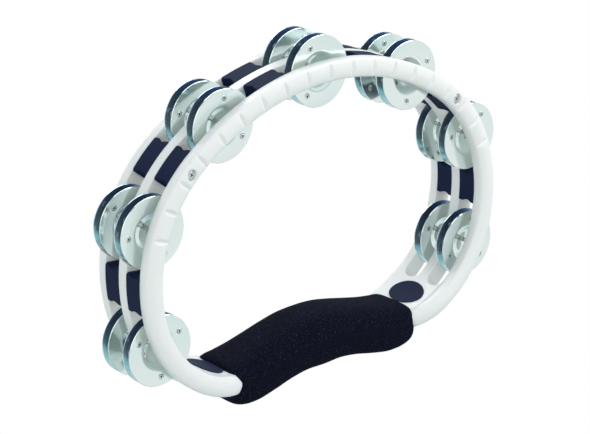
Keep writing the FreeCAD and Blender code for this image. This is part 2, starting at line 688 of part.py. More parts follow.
def build_screw(label, place):
    """Round-headed screw from a counterbore in the front ring to the rear rail."""
    body = new_body(label)
    sketch = new_sketch(body, label + "_section", "XY_Plane")
    head = size("screw_head") / 2
    shank = size("screw_diameter") / 2
    top = size("screw_head_height")
    length = size("screw_length")
    chamfer = size("head_chamfer")
    corners = [
        (0.0, None, -top, "-{screw_head_height}"),
        (head - chamfer, "{screw_head} / 2 - {head_chamfer}", -top, "-{screw_head_height}"),
        (head, "{screw_head} / 2", chamfer - top, "{head_chamfer} - {screw_head_height}"),
        (head, "{screw_head} / 2", 0.0, None),
        (shank, "{screw_diameter} / 2", 0.0, None),
        (shank, "{screw_diameter} / 2", length - size("screw_tip"),
         "{screw_length} - {screw_tip}"),
        (0.0, None, length, "{screw_length}"),
    ]
    polygon(sketch, corners)
    revolve(body, label + "_turned", sketch)
    seat = -REAR + size("counterbore_depth")
    body.Placement = Placement(place + Vector(0, seat, 0), Rotation())
    return body


def build_plate(label, side):
    """Plain oval plate lying on the inner face of a limb."""
    inner = document.addObject("Part::Cylinder", label + "_inside")
    outer = document.addObject("Part::Cylinder", label + "_outside")
    for cylinder, formula in ((inner, "{lower_radius} - {wall} - {plate_gauge}"),
                              (outer, "{lower_radius} - {wall}")):
        bind(cylinder, "Radius", formula)
        bind(cylinder, "Height", "{plate_width} + %g" % (2 * OVERCUT))
    shell = document.addObject("Part::Cut", label + "_shell")
    shell.Base = outer
    shell.Tool = inner
    oval = document.addObject("Part::Ellipse", label + "_oval")
    bind(oval, "MajorRadius", "{plate_width} / 2")
    bind(oval, "MinorRadius", "{plate_length} / 2")
    column = document.addObject("Part::Extrusion", label + "_column")
    column.Base = oval
    column.Dir = Vector(0, 0, 1)
    column.Solid = True
    bind(column, "LengthFwd", "{lower_radius}")
    plate = document.addObject("Part::Common", label)
    plate.Label = label
    plate.Base = shell
    plate.Tool = column
    outward = turn(side * size("plate_angle"))
    centre = Vector(side * CENTRE_3.x, 0, CENTRE_3.z)
    flat = Rotation(Vector(0, 1, 0), Vector(0, 0, 0), outward, "ZXY")
    column.Placement = Placement(centre, flat)
    edge = Vector(0, -size("plate_width") / 2 - OVERCUT, 0)
    for cylinder in (inner, outer):
        cylinder.Placement = Placement(centre + edge, Rotation(Vector(1, 0, 0), -90))
    return plate


STATIONS = (
    ("arch_at", "flank_low", "flank_high", None),
    ("foot_at", "foot_low", "foot_high", None),
    ("shoulder_at", "shoulder_low", "shoulder_high", "shoulder_inset"),
    ("turn_at", "turn_low", "turn_high", "turn_inset"),
    ("sleeve_reach", "tip_low", "tip_high", "tip_inset"),
)


def sleeve_section(body, name, side, station):
    """Rounded rectangle of the sleeve at one station along the grip."""
    where, low, high, inset = station
    level = "%d * {%s}" % (side, where) if where else None
    sketch = new_sketch(body, name, "YZ_Plane", level)
    drawn = size(inset) if inset else 0.0
    drawn_formula = "{%s}" % inset if inset else "0"
    corner = size("sleeve_corner") - drawn
    half = size("sleeve_depth") / 2 - drawn
    bottom = size(low)
    top = size(high)
    lines = []
    for start, stop in (((corner - half, bottom), (half - corner, bottom)),
                        ((half, bottom + corner), (half, top - corner)),
                        ((half - corner, top), (corner - half, top)),
                        ((-half, top - corner), (-half, bottom + corner))):
        lines.append(sketch.addGeometry(Part.LineSegment(Vector(*start, 0), Vector(*stop, 0))))
    middles = ((half - corner, bottom + corner, -90), (half - corner, top - corner, 0),
               (corner - half, top - corner, 90), (corner - half, bottom + corner, 180))
    rounds = []
    for x, y, first in middles:
        circle = Part.Circle(Vector(x, y, 0), Vector(0, 0, 1), corner)
        span = (math.radians(first), math.radians(first + 90))
        rounds.append(sketch.addGeometry(Part.ArcOfCircle(circle, *span)))
    for line, bend, following in zip(lines, rounds, lines[1:] + lines[:1]):
        constrain(sketch, "Tangent", line, 2, bend, 1)
        constrain(sketch, "Tangent", bend, 2, following, 1)
        constrain(sketch, "Radius", bend, corner, formula="{sleeve_corner} - " + drawn_formula)
    for line, kind in zip(lines, ("Horizontal", "Vertical") * 2):
        constrain(sketch, kind, line)
    width = "{sleeve_depth} / 2 - " + drawn_formula
    constrain(sketch, "DistanceX", -1, 1, lines[1], 1, half, formula=width)
    constrain(sketch, "DistanceX", lines[3], 1, -1, 1, half, formula=width)
    constrain(sketch, "DistanceY", -1, 1, lines[0], 1, bottom, formula="{%s}" % low)
    constrain(sketch, "DistanceY", -1, 1, lines[2], 1, top, formula="{%s}" % high)
    return sketch


def build_sleeve():
    """Foam sleeve over the bar: an arched loft, hollow, with room for both limbs."""
    body = new_body("grip_sleeve")
    middle = (None, "middle_low", "middle_high", None)
    ordered = [(-1, station) for station in reversed(STATIONS)]
    ordered += [(1, middle)] + [(1, station) for station in STATIONS]
    sections = [sleeve_section(body, "sleeve_section_%d" % number, side, station)
                for number, (side, station) in enumerate(ordered, start=1)]
    loft = body.newObject("PartDesign::AdditiveLoft", "sleeve_loft")
    loft.Profile = sections[0]
    loft.Sections = sections[1:]
    document.recompute()
    trim = body.newObject("PartDesign::SubtractiveBox", "foot_trim")
    bind(trim, "Length", "2 * {sleeve_reach} + %g" % (2 * OVERCUT))
    bind(trim, "Width", "{sleeve_depth} + %g" % (2 * OVERCUT))
    trim.Height = OVERCUT
    corner = Vector(-size("sleeve_reach"), -size("sleeve_depth") / 2, 0)
    trim.Placement = Placement(corner - Vector(OVERCUT, OVERCUT, OVERCUT), Rotation())
    document.recompute()
    hollow = core_profile(body, "hollow_profile", size("foam_gap"),
                          "{core_depth} / 2 + {foam_gap}")
    pocket(body, "sleeve_hollow", hollow, "{core_depth} + 2 * {foam_gap}")
    gap = size("foam_gap")
    room = half_band(body, "limb_room_profile", AT_FRONT, (-gap, "-{foam_gap}"),
                     (size("wall") + gap, "({wall} + {foam_gap})"), "limb_clear_angle")
    limb_room = pocket(body, "limb_room", room, DEPTH_OF_RING)
    mirror_halves(body, "limb_rooms", [limb_room], mode="Features")
    return body


# ------------------------------------------------------------------ the build
def build_all():
    """Build every sub-part; each object's label is its node name."""
    pieces = [build_frame_body(), build_front_ring(), build_sleeve()]
    for number, step in enumerate(range(-3, 4), start=1):
        distance = step * size("window_pitch")
        pieces.append(build_pin("jingle_pin_%d" % number, rail_place(distance)[0]))
        for row in ROWS:
            for side in ("front", "rear"):
                label = "jingle_%s_row_%d_%s" % (row, number, side)
                pieces.append(build_jingle(label, row, side, distance))
    for number, step in enumerate((-2.5, -1.5, -0.5, 0.5, 1.5, 2.5), start=1):
        for row in ROWS:
            label = "spacer_%s_row_%d" % (row, number)
            distance = step * size("window_pitch")
            pieces.append(build_spacer(label, row, distance, bored=abs(step) == 1.5))
    for name, side, place in zip(("left", "right"), (-1, 1), SCREW_PLACES):
        pieces.append(build_screw("frame_screw_" + name, place))
        pieces.append(build_plate("limb_plate_" + name, side))
    document.recompute()
    return pieces


def check_and_export(pieces):
    """Stop on any faulty object, then write each sub-part to its own STEP file."""
    for item in document.Objects:
        if "Invalid" in item.State or "Error" in item.State:
            raise RuntimeError("%s is %s" % (item.Label, item.State))
    for piece in pieces:
        if piece.Shape.isNull() or not piece.Shape.isValid():
            raise RuntimeError(piece.Label + " has no valid shape")
    os.makedirs("parts", exist_ok=True)
    for piece in pieces:
        piece.Shape.exportStep("parts/%s.step" % piece.Label)


if __name__ == "__main__":
    check_and_export(build_all())
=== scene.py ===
"""Looks of a hand-held tambourine, laid over its solids.

Lengths are in metres. The row frame has +X across the ring, +Y from the front face to the
rear and +Z up; its origin lies under the grip. Each sub-assembly is a class that builds its
own pieces, and main() builds them in order.
"""
import logging
import math
from dataclasses import dataclass
from enum import Enum

import bmesh
import bpy
from mathutils import Matrix, Vector

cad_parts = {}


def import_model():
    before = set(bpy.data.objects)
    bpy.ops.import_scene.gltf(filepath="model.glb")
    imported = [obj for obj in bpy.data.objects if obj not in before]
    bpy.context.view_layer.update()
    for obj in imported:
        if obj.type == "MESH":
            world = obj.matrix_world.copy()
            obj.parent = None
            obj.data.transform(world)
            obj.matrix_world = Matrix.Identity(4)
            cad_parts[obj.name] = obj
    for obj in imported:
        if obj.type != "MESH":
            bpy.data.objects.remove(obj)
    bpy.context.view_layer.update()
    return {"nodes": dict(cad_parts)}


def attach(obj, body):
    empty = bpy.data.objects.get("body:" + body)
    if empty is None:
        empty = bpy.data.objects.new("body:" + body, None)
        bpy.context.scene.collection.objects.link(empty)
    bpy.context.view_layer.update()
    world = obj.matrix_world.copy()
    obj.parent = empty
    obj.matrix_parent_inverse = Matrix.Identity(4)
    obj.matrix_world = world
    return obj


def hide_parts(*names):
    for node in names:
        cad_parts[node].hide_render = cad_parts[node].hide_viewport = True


LOGGER = logging.getLogger("tambourine")
MM = 0.001
ROOT_BODY = "frame"
ROWS = {"front": -9.9 * MM, "rear": 9.9 * MM}
PAIRS_IN_ROW = 7
MIDDLE_PAIR = PAIRS_IN_ROW // 2
TINY = 1e-6


class Grain(Enum):
    """Surface structure that a finish carries."""

    MOULDED = "moulded"
    FOAM = "foam"
    PRESSED = "pressed"
    DRAWN = "drawn"


@dataclass(frozen=True)
class Finish:
    """Constants of one procedural material."""

    name: str
    colour: tuple[float, float, float]
    second: tuple[float, float, float]
    roughness: float
    roughness_spread: float
    grain: Grain
    scale: float
    bump: float
    specular: float = 0.5
    metallic: float = 0.0
    coat: float = 0.0
    glow: float = 0.0
    # Reach of the facing mask that paints shade and reflection by which way a surface faces; 0
    # for none.
    lean: float = 0.0


@dataclass(frozen=True)
class Outline:
    """Outline of the ring: three tangent arcs each side of the top centre."""

    radii: tuple[float, float, float] = (159.0 * MM, 92.0 * MM, 74.6 * MM)
    ends: tuple[float, float] = (38.0, 107.0)
    last: float = 172.8
    wall: float = 11.6 * MM
    foot: float = 12.0 * MM

    def direction(self, angle: float) -> Vector:
        """Outward unit vector at an angle from the top centre, positive towards +X."""
        return Vector((math.sin(math.radians(angle)), 0.0, math.cos(math.radians(angle))))

    def centres(self) -> list[Vector]:
        """Centres of the three arcs on the right.

        Returns:
            The arcs' centres from the top one to the lowest.
        """
        steps = ((self.radii[0] - self.radii[1], self.ends[0]),
                 (self.radii[1] - self.radii[2], self.ends[1]))
        lowest = Vector((sum(gap * self.direction(a).x for gap, a in steps), 0.0,
                         self.foot + self.radii[2]))
        middle = lowest - self.direction(self.ends[1]) * steps[1][0]
        return [middle - self.direction(self.ends[0]) * steps[0][0], middle, lowest]

    def length(self) -> float:
        """Half length of the rail along the middle of its wall.

        Returns:
            Distance from the top centre to a limb's end.
        """
        total = 0.0
        start = 0.0
        for radius, end in zip(self.radii, self.ends + (self.last,)):
            total += math.radians(end - start) * (radius - self.wall / 2)
            start = end
        return total

    def place(self, distance: float) -> tuple[Vector, Vector]:
        """Point on the middle of the wall and the outward direction there.

        Args:
            distance: Distance from the top centre, negative to the left.

        Returns:
            The point, with y 0, and the unit vector that points out of the ring.
        """
        left = abs(distance)
        start = 0.0
        arcs = list(zip(self.radii, self.ends + (180.0,), self.centres()))
        for number, (radius, end, centre) in enumerate(arcs):
            middle = radius - self.wall / 2
            span = math.radians(end - start) * middle
            if left <= span or number == len(arcs) - 1:
                outward = self.direction(start + math.degrees(left / middle))
                break
            left -= span
            start = end
        point = centre + outward * middle
        if distance < 0:
            point.x = -point.x
            outward.x = -outward.x
        return point, outward


OUTLINE = Outline()


def evenly(start: float, stop: float, count: int) -> list[float]:
    """Evenly spaced values after a start, up to and with a stop."""
    return [start + (stop - start) * n / count for n in range(1, count + 1)]


def ring_of(mesh_builder: bmesh.types.BMesh,
            places: list[Vector]) -> list[bmesh.types.BMEdge]:
    """Closed ring of edges through the given places, in their order."""
    verts = [mesh_builder.verts.new(place) for place in places]
    return [mesh_builder.edges.new(pair) for pair in zip(verts, verts[1:] + verts[:1])]


def loft(mesh_builder: bmesh.types.BMesh,
         rings: list[list[bmesh.types.BMEdge]]) -> list[bmesh.types.BMFace]:
    """Bridge each ring to the next and close both ends with a flat face.

    Args:
        mesh_builder: The mesh that holds the rings.
        rings: Closed rings of as many edges, from one end to the other.

    Returns:
        The two end faces, the first ring's first.
    """
    for one, two in zip(rings, rings[1:]):
        bmesh.ops.bridge_loops(mesh_builder, edges=one + two)
    ends = []
    for ring in (rings[0], rings[-1]):
        ends += bmesh.ops.contextual_create(mesh_builder, geom=ring)["faces"]
    return ends


def new_piece(name: str, mesh_builder: bmesh.types.BMesh,
              materials: list[bpy.types.Material],
              smooth_degrees: float = 35.0) -> bpy.types.Object:
    """Turn a finished bmesh into a shown object at the origin.

    Args:
        name: Name of the object and its mesh.
        mesh_builder: The geometry; it is freed here.
        materials: The piece's materials, in the order of its faces' material indices.
        smooth_degrees: Edges sharper than this stay sharp.

    Returns:
        The new object.
    """
    bmesh.ops.recalc_face_normals(mesh_builder, faces=mesh_builder.faces)
    limit = math.radians(smooth_degrees)
    for face in mesh_builder.faces:
        face.smooth = True
    for edge in mesh_builder.edges:
        edge.smooth = len(edge.link_faces) == 2 and edge.calc_face_angle() < limit
    mesh = bpy.data.meshes.new(name)
    mesh_builder.to_mesh(mesh)
    mesh_builder.free()
    for material in materials:
        mesh.materials.append(material)
    piece = bpy.data.objects.new(name, mesh)
    bpy.context.scene.collection.objects.link(piece)
    return piece


def carve(piece: bpy.types.Object, cutter_mesh: bmesh.types.BMesh) -> None:
    """Cut a closed shape out of a piece's mesh for good.

    Args:
        piece: The piece, at the origin.
        cutter_mesh: The shape that is taken away; it is freed here.
    """
    cutter = new_piece(piece.name + "_cutter", cutter_mesh, list(piece.data.materials))
    cut = piece.modifiers.new("cut", "BOOLEAN")
    cut.operation = "DIFFERENCE"
    cut.solver = "EXACT"
    cut.object = cutter
    bpy.context.view_layer.update()
    evaluated = piece.evaluated_get(bpy.context.evaluated_depsgraph_get())
    carved = bpy.data.meshes.new_from_object(evaluated)
    piece.modifiers.remove(cut)
    spent = (piece.data, cutter.data)
    piece.data = carved
    bpy.data.objects.remove(cutter)
    for mesh in spent:
        bpy.data.meshes.remove(mesh)
    carved.name = piece.name


class ShaderGroups:
    """Shared shader node groups; each gives only masks or values."""

    MOTTLE_LAYERS = (("Broad", 1.0, 3.0), ("Fine", 28.0, 2.0))
    SPECKLE_RANGE = (0.56, 0.72)
    SPECKLE_DETAIL = 3.0
    STREAK_STRETCH = (1.0, 8.0, 0.35)
    STREAK_LAYERS = (("Broad", 0.35, 2.0), ("Fine", 9.0, 2.0))

    def __init__(self) -> None:
        """Build the three groups once."""
        self.mottle = self._mottle()
        self.cells = self._cells()
        self.spun = self._spun()

    @staticmethod
    def _group(name: str, scale: float) -> tuple[bpy.types.NodeTree, bpy.types.Node,
                                                 bpy.types.Node]:
        """Start a group with input Scale and outputs Broad and Fine.

        Args:
            name: Name of the group.
            scale: Default of the input.

        Returns:
            The group, its input node and its output node.
        """
        group = bpy.data.node_groups.new(name, "ShaderNodeTree")
        socket = group.interface.new_socket("Scale", in_out="INPUT",
                                            socket_type="NodeSocketFloat")
        socket.default_value = scale
        for label in ("Broad", "Fine"):
            group.interface.new_socket(label, in_out="OUTPUT", socket_type="NodeSocketFloat")
        return group, group.nodes.new("NodeGroupInput"), group.nodes.new("NodeGroupOutput")

    @staticmethod
    def _noises(group: bpy.types.NodeTree, source: bpy.types.Node, sink: bpy.types.Node,
                vector: bpy.types.NodeSocket,
                layers: tuple[tuple[str, float, float], ...]) -> None:
        """Add one noise for each output of a group.

        Args:
            group: The group.
            source: Its input node.
            sink: Its output node.
            vector: Where the noises take their coordinates from.
            layers: Output, share of the group's scale and detail of each noise.
        """
        for label, factor, detail in layers:
            scaled = group.nodes.new("ShaderNodeMath")
            scaled.operation = "MULTIPLY"
            scaled.inputs[1].default_value = factor
            noise = group.nodes.new("ShaderNodeTexNoise")
            noise.inputs["Detail"].default_value = detail
            group.links.new(source.outputs["Scale"], scaled.inputs[0])
            group.links.new(scaled.outputs[0], noise.inputs["Scale"])
            group.links.new(vector, noise.inputs["Vector"])
            group.links.new(noise.outputs["Fac"], sink.inputs[label])

    def _mottle(self) -> bpy.types.NodeTree:
        """Broad and fine variation of a moulded surface.

        Returns:
            Group with outputs Broad and Fine, both from 0 to 1.
        """
        group, source, sink = self._group("mottle", 60.0)
        coordinates = group.nodes.new("ShaderNodeTexCoord")
        self._noises(group, source, sink, coordinates.outputs["Object"], self.MOTTLE_LAYERS)
        return group

    def _cells(self) -> bpy.types.NodeTree:
        """Open cells of a foam skin.

        Returns:
            Group with outputs Broad, the cells' height, and Fine, a speckle mask.
        """
        group, source, sink = self._group("cells", 900.0)
        coordinates = group.nodes.new("ShaderNodeTexCoord")
        cells = group.nodes.new("ShaderNodeTexVoronoi")
        grains = group.nodes.new("ShaderNodeTexNoise")
        grains.inputs["Detail"].default_value = self.SPECKLE_DETAIL
        ramp = group.nodes.new("ShaderNodeMapRange")
        ramp.inputs["From Min"].default_value = self.SPECKLE_RANGE[0]
        ramp.inputs["From Max"].default_value = self.SPECKLE_RANGE[1]
        for node in (cells, grains):
            group.links.new(coordinates.outputs["Object"], node.inputs["Vector"])
            group.links.new(source.outputs["Scale"], node.inputs["Scale"])
        group.links.new(cells.outputs["Distance"], sink.inputs["Broad"])
        group.links.new(grains.outputs["Fac"], ramp.inputs["Value"])
        group.links.new(ramp.outputs["Result"], sink.inputs["Fine"])
        return group

    def _spun(self) -> bpy.types.NodeTree:
        """Streaks of rolled or drawn metal, long across the ring's axis.

        Returns:
            Group with outputs Broad and Fine, both from 0 to 1.
        """
        group, source, sink = self._group("spun", 120.0)
        coordinates = group.nodes.new("ShaderNodeTexCoord")
        stretch = group.nodes.new("ShaderNodeVectorMath")
        stretch.operation = "MULTIPLY"
        stretch.inputs[1].default_value = self.STREAK_STRETCH
        group.links.new(coordinates.outputs["Object"], stretch.inputs[0])
        self._noises(group, source, sink, stretch.outputs["Vector"], self.STREAK_LAYERS)
        return group

    def of(self, grain: Grain) -> bpy.types.NodeTree:
        """Group that draws a grain.

        Args:
            grain: The finish's surface structure.

        Returns:
            The shared node group.
        """
        if grain is Grain.MOULDED:
            return self.mottle
        if grain is Grain.FOAM:
            return self.cells
        return self.spun


class Materials:
    """Procedural materials, one for each finish."""

    FINISHES = (
        Finish("shell_white", (0.93, 0.925, 0.90), (0.90, 0.895, 0.87), roughness=0.34,
               roughness_spread=0.08, grain=Grain.MOULDED, scale=55.0, bump=0.02, coat=0.12,
               glow=0.5),
        Finish("insert_navy", (0.009, 0.015, 0.045), (0.014, 0.022, 0.060), roughness=0.56,
               roughness_spread=0.12, grain=Grain.MOULDED, scale=120.0, bump=0.10,
               specular=0.05),
        Finish("plate_navy", (0.012, 0.018, 0.048), (0.016, 0.024, 0.060), roughness=0.50,
               roughness_spread=0.06, grain=Grain.MOULDED, scale=80.0, bump=0.02,
               specular=0.05),
        Finish("grip_foam", (0.0026, 0.0034, 0.0095), (0.026, 0.034, 0.078), roughness=0.92,
               roughness_spread=0.08, grain=Grain.FOAM, scale=1500.0, bump=0.35,
               specular=0.08),
        Finish("jingle_steel", (0.95, 1.0, 0.98), (0.80, 0.93, 0.92), roughness=0.11,
               roughness_spread=0.08, grain=Grain.PRESSED, scale=70.0, bump=0.04,
               metallic=1.0),
        # Painted shade and reflection on the jingles' near faces: pale where the surface leans
        # down, navy where it leans up.
        Finish("jingle_near_painted_shade", (0.78, 0.92, 0.95), (0.11, 0.21, 0.38), roughness=0.14,
               roughness_spread=0.10, grain=Grain.PRESSED, scale=50.0, bump=0.05,
               metallic=0.9, lean=0.13),
        # Painted shade: near-black steel for the crimp marks' creases and dipped middles and
        # for the screws' cross recesses.
        Finish("painted_shade_steel", (0.030, 0.036, 0.045), (0.050, 0.058, 0.068), roughness=0.38,
               roughness_spread=0.10, grain=Grain.DRAWN, scale=200.0, bump=0.02,
               specular=0.3, metallic=0.5),
        Finish("pin_steel", (0.60, 0.61, 0.62), (0.48, 0.49, 0.50), roughness=0.26,
               roughness_spread=0.12, grain=Grain.DRAWN, scale=260.0, bump=0.04,
               metallic=1.0),
        Finish("screw_steel", (0.84, 0.87, 0.88), (0.62, 0.66, 0.69), roughness=0.18,
               roughness_spread=0.10, grain=Grain.DRAWN, scale=400.0, bump=0.06,
               metallic=1.0),
    )
    BUMP_HEIGHT = 0.2 * MM
    COAT_ROUGHNESS = 0.12
    REFRACTION = 1.5
    GLOW_REACH = (1.0, 0.82, 0.66)
    GLOW_SCALE = 4.0 * MM
    UNDERSIDE_SHARE = 0.25

    def __init__(self, groups: ShaderGroups) -> None:
        """Build every material from the shared node groups."""
        self.groups = groups
        self.made = {finish.name: self._build(finish) for finish in self.FINISHES}

    def __getitem__(self, name: str) -> bpy.types.Material:
        """Material of the finish with that name."""
        return self.made[name]

    @staticmethod
    def _painted_shade_by_facing(tree: bpy.types.NodeTree, reach: float) -> bpy.types.NodeSocket:
        """Mask that grows where a surface leans upward, used to paint shade and reflection by
        which way the surface faces.

        Args:
            tree: The material's node tree.
            reach: Height of the unit normal at which the mask is full.

        Returns:
            Output socket of the mask, 0 where the surface leans down.
        """
        coordinates = tree.nodes.new("ShaderNodeTexCoord")
        split = tree.nodes.new("ShaderNodeSeparateXYZ")
        lean = tree.nodes.new("ShaderNodeMapRange")
        lean.interpolation_type = "SMOOTHSTEP"
        lean.inputs["From Min"].default_value = -reach * Materials.UNDERSIDE_SHARE
        lean.inputs["From Max"].default_value = reach
        tree.links.new(coordinates.outputs["Normal"], split.inputs["Vector"])
        tree.links.new(split.outputs["Z"], lean.inputs["Value"])
        return lean.outputs["Result"]

    def _build(self, finish: Finish) -> bpy.types.Material:
        """Build one material from its constants.

        Args:
            finish: The constants.

        Returns:
            The material, with its shader in the material's own tree.
        """
        material = bpy.data.materials.new(finish.name)
        material.use_nodes = True
        tree = material.node_tree
        shader = tree.nodes["Principled BSDF"]
        grain = tree.nodes.new("ShaderNodeGroup")
        grain.node_tree = self.groups.of(finish.grain)
        grain.inputs["Scale"].default_value = finish.scale
        mix = tree.nodes.new("ShaderNodeMix")
        mix.data_type = "RGBA"
        mix.inputs["A"].default_value = finish.colour + (1.0,)
        mix.inputs["B"].default_value = finish.second + (1.0,)
        mask = "Fine" if finish.grain is Grain.FOAM else "Broad"
        # Painted shade and reflection: the colour follows which way the surface faces.
        if finish.lean:
            tree.links.new(self._painted_shade_by_facing(tree, finish.lean), mix.inputs["Factor"])
        else:
            tree.links.new(grain.outputs[mask], mix.inputs["Factor"])
        tree.links.new(mix.outputs["Result"], shader.inputs["Base Color"])
        spread = tree.nodes.new("ShaderNodeMapRange")
        spread.inputs["To Min"].default_value = finish.roughness - finish.roughness_spread / 2
        spread.inputs["To Max"].default_value = finish.roughness + finish.roughness_spread / 2
        tree.links.new(grain.outputs["Broad"], spread.inputs["Value"])
        tree.links.new(spread.outputs["Result"], shader.inputs["Roughness"])
        bump = tree.nodes.new("ShaderNodeBump")
        bump.inputs["Strength"].default_value = finish.bump
        bump.inputs["Distance"].default_value = self.BUMP_HEIGHT
        height = "Broad" if finish.grain is Grain.FOAM else "Fine"
        tree.links.new(grain.outputs[height], bump.inputs["Height"])
        tree.links.new(bump.outputs["Normal"], shader.inputs["Normal"])
        shader.inputs["Metallic"].default_value = finish.metallic
        shader.inputs["Coat Weight"].default_value = finish.coat
        shader.inputs["Coat Roughness"].default_value = self.COAT_ROUGHNESS
        shader.inputs["IOR"].default_value = self.REFRACTION
        shader.inputs["Specular IOR Level"].default_value = finish.specular
        shader.inputs["Subsurface Weight"].default_value = finish.glow
        shader.inputs["Subsurface Radius"].default_value = self.GLOW_REACH
        shader.inputs["Subsurface Scale"].default_value = self.GLOW_SCALE
        return material


@dataclass
class FrontRing:
    """Crowned front rail with cross grooves and two counterbored screw holes."""

    materials: Materials
    front: float = -23.6 * MM
    seam: float = -16.1 * MM
    crown: float = 1.7 * MM
    groove_pitch: float = 16.5 * MM
    groove_half: float = 1.9 * MM
    groove_depth: float = 1.3 * MM
    counterbore: float = 3.3 * MM
    counterbore_depth: float = 3.6 * MM
    screw_at: float = 108.6 * MM
    limb_round: float = 3.5 * MM
    nose_round: float = 1.1 * MM
    taper_length: float = 26.0 * MM
    taper_drop: float = 4.5 * MM
    edge_round: float = 1.1 * MM
    shoulder_width: float = 6.0 * MM
    shoulder_depth: float = 3.2 * MM
    small: float = 0.25 * MM
    grooves_each_side: int = 9
    groove_margin: float = 4.0 * MM
    end_zone: float = 4.0 * MM
    crown_share: float = 0.85
    rounding_share: float = 0.9
    section_steps: int = 24
    fine_step: float = 0.45 * MM
    plain_step: float = 2.2 * MM
    end_steps: int = 10
    overcut: float = 1.0 * MM
    bore_segments: int = 40
    smooth_degrees: float = 50.0

    def _thinning(self, x: float, left: float) -> float:
        """How far the front has drawn back on a limb that grows thinner.

        Args:
            x: Place across the ring.
            left: Distance left to the limb's end.

        Returns:
            The drop of the front, 0 above the limbs.
        """
        middle, _ = OUTLINE.place(OUTLINE.length())
        along = middle.x + self.taper_length - abs(x)
        if along <= 0.0 or left > 2.0 * self.taper_length:
            return 0.0
        radius = (self.taper_length ** 2 + self.taper_drop ** 2) / (2.0 * self.taper_drop)
        return radius - math.sqrt(radius ** 2 - along ** 2)

    def _section(self, left: float) -> list[tuple[float, float, bool]]:
        """Section of the rail, from the seam's inner corner round to its outer corner.

        Args:
            left: Distance left to the limb's end, where the inner edge grows rounder.

        Returns:
            Pairs (outward offset, y) and whether the point lies on the crowned face.
        """
        half = OUTLINE.wall / 2
        part = min(max(1.0 - left / self.taper_length, 0.0), 1.0)
        blend = part * part * (3.0 - 2.0 * part)
        width = self.edge_round + (self.shoulder_width - self.edge_round) * blend
        depth = self.edge_round + (self.shoulder_depth - self.edge_round) * blend
        points = [(self.small - half, self.seam, False), (-half, self.seam - self.small, False)]
        for step in range(self.section_steps + 1):
            across = -math.cos(math.pi * step / self.section_steps) * half
            wide, deep = (width, depth) if across < 0.0 else (self.edge_round,) * 2
            share = 1.0 - min(half - abs(across), wide) / wide
            rounding = deep * (1.0 - math.sqrt(max(1.0 - share ** 2, 0.0)))
            crown = self.crown * (across / half) ** 2 * self.crown_share
            y = self.front + crown + rounding * self.rounding_share
            points.append((across, y, True))
        points += [(half, self.seam - self.small, False), (half - self.small, self.seam, False)]
        return points

    def _stations(self) -> list[float]:
        """Distances along the rail, dense where the grooves are.

        Returns:
            Distances from the left limb's end to the right one's.
        """
        end = OUTLINE.length()
        grooved = self.grooves_each_side * self.groove_pitch + self.groove_margin
        plain = end - self.end_zone
        right = [0.0] + evenly(0.0, grooved, round(grooved / self.fine_step))
        right += evenly(grooved, plain, round((plain - grooved) / self.plain_step))
        right += [end - self.end_zone * math.cos(math.pi / 2 * step)
                  for step in evenly(0.0, 1.0, self.end_steps)]
        return [-value for value in reversed(right[1:])] + right

    def _groove(self, distance: float) -> float:
        """Depth that the grooves reach at a distance.

        Args:
            distance: Distance from the top centre.

        Returns:
            Depth below the crest, 0 between grooves.
        """
        nearest = round(distance / self.groove_pitch)
        if abs(nearest) > self.grooves_each_side:
            return 0.0
        away = abs(distance - nearest * self.groove_pitch)
        if away > self.groove_half:
            return 0.0
        return self.groove_depth * (1.0 - away / self.groove_half)

    @staticmethod
    def _end_inset(left: float, radius: float) -> float:
        """How far a rounded corner draws in, at a distance left to a limb's end."""
        gap = radius - min(left, radius)
        return radius - math.sqrt(max(radius ** 2 - gap ** 2, 0.0))

    def _swept(self) -> bmesh.types.BMesh:
        """Sweep the section along the outline with the grooves pressed in.

        Returns:
            Closed mesh of the rail.
        """
        swept = bmesh.new()
        rings = []
        for distance in self._stations():
            middle, outward = OUTLINE.place(distance)
            cut = self._groove(distance)
            left = OUTLINE.length() - abs(distance)
            outer = self._end_inset(left, self.limb_round)
            front = self._end_inset(left, self.nose_round)
            half = OUTLINE.wall / 2
            narrowed = 1.0 - outer / OUTLINE.wall
            ring = []
            for across, y, crowned in self._section(left):
                spot = middle + outward * ((across + half) * narrowed - half)
                level = y
                if crowned:
                    level = max(y, self.front + cut, self.front + front)
                    level += self._thinning(spot.x, left)
                ring.append(Vector((spot.x, min(level, self.seam), spot.z)))
            rings.append(ring_of(swept, ring))
        loft(swept, rings)
        return swept

    def _drill(self, ring: bpy.types.Object) -> None:
        """Cut both counterbores into the ring's mesh.

        Args:
            ring: The ring, at the origin.
        """
        cutter_mesh = bmesh.new()
        for side in (-1, 1):
            middle, _ = OUTLINE.place(side * self.screw_at)
            depth = self.counterbore_depth + self.overcut
            centre = Vector((middle.x, self.front - self.overcut + depth / 2, middle.z))
            turned = Matrix.Translation(centre) @ Matrix.Rotation(math.pi / 2, 4, "X")
            bmesh.ops.create_cone(cutter_mesh, cap_ends=True, segments=self.bore_segments,
                                  radius1=self.counterbore, radius2=self.counterbore,
                                  depth=depth, matrix=turned)
        carve(ring, cutter_mesh)

    def build(self) -> list[bpy.types.Object]:
        """Build the ring in place of its node.

        Returns:
            The ring.
        """
        ring = new_piece("front_ring_skin", self._swept(), [self.materials["shell_white"]],
                         self.smooth_degrees)
        self._drill(ring)
        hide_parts("front_ring")
        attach(ring, ROOT_BODY)
        return [ring]


